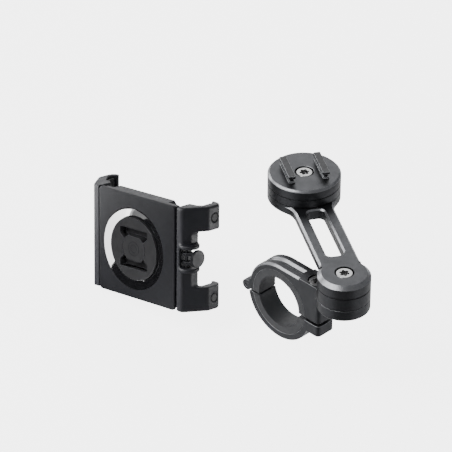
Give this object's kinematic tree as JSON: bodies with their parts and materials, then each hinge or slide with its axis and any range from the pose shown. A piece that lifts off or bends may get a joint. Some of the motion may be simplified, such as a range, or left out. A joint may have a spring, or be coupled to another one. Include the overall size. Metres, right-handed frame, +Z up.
{
  "type": "phone mount",
  "caption": "Handlebar phone mount: hinged bar clamp, turning slotted arm and round twist-lock head, with a spring phone clamp that has a sliding jaw and a locking lever.",
  "frame": {"origin": "centre of the handlebar bore, midway along its width", "axes": "+X along the handlebar, +Z up along the arm and head pivots, -Y towards the arm's barrel"},
  "size_m": [0.0838, 0.1973, 0.1004],
  "materials": {
    "anodised_aluminium": "bead-blasted dark grey anodised",
    "silver_steel": "satin stainless screw heads",
    "insert_steel": "plain steel",
    "liner_rubber": "smooth matte rubber",
    "lug_polymer": "satin reinforced plastic",
    "shell_polymer": "fine-textured moulded plastic",
    "gloss_polymer": "piano gloss",
    "grip_rubber": "matte rubber"
  },
  "bodies": {
    "handlebar_clamp": {"clamp_upper_jaw": "anodised_aluminium", "liner_upper": "liner_rubber", "hinge_pin": "silver_steel", "clamp_bolt": "silver_steel", "barrel_spacer": "anodised_aluminium", "barrel_insert": "insert_steel", "arm_screw": "silver_steel"},
    "clamp_lower": {"clamp_lower_jaw": "anodised_aluminium", "liner_lower": "liner_rubber", "clamp_nut": "insert_steel"},
    "arm": {"arm": "anodised_aluminium", "arm_pivot_bush": "lug_polymer", "head_screw": "silver_steel", "head_insert": "insert_steel"},
    "head": {"head_spacer": "anodised_aluminium", "head_plate": "anodised_aluminium", "twist_lugs": "lug_polymer", "head_pivot_bush": "lug_polymer"},
    "phone_clamp": {"back_cover": "shell_polymer", "gloss_ring": "gloss_polymer", "socket_disc": "shell_polymer", "front_body": "shell_polymer", "front_rubber_pad": "grip_rubber", "fixed_jaw": "shell_polymer", "fixed_grip_pad": "grip_rubber", "rod_bushes": "lug_polymer", "return_springs": "insert_steel", "cover_screws": "insert_steel"},
    "sliding_jaw": {"sliding_jaw": "shell_polymer", "slide_grip_pads": "grip_rubber", "side_plugs": "grip_rubber", "guide_rods": "insert_steel", "lever_pin": "insert_steel"},
    "cam_lever": {"cam_lever": "shell_polymer"}
  },
  "joints": [
    {"name": "clamp_hinge", "type": "hinge", "parent": "handlebar_clamp", "child": "clamp_lower", "pos_m": [0, 0.0235, -0.001], "axis": [1, 0, 0], "range_deg": [0, 65]},
    {"name": "arm_turn", "type": "hinge", "parent": "handlebar_clamp", "child": "arm", "pos_m": [0, -0.04, 0.0286], "axis": [0, 0, 1], "continuous": true},
    {"name": "head_turn", "type": "hinge", "parent": "arm", "child": "head", "pos_m": [0.04014, 0.02734, 0.0359], "axis": [0, 0, 1], "continuous": true},
    {"name": "twist_lock", "type": "hinge", "parent": "handlebar_clamp", "child": "phone_clamp", "pos_m": [-0.01688, 0.09864, -0.0106], "axis": [-0.9736, 0, 0.2284], "range_deg": [0, 90]},
    {"name": "jaw_slide", "type": "slide", "parent": "phone_clamp", "child": "sliding_jaw", "axis": [0.049, -0.9767, 0.2091], "range_m": [0, 0.0136], "stiffness_N_per_m": 150, "springref_m": -0.006},
    {"name": "lever_turn", "type": "hinge", "parent": "sliding_jaw", "child": "cam_lever", "pos_m": [-0.01205, 0.06227, -0.00226], "axis": [-0.223, -0.2147, -0.9509], "range_deg": [0, 80]}
  ]
}
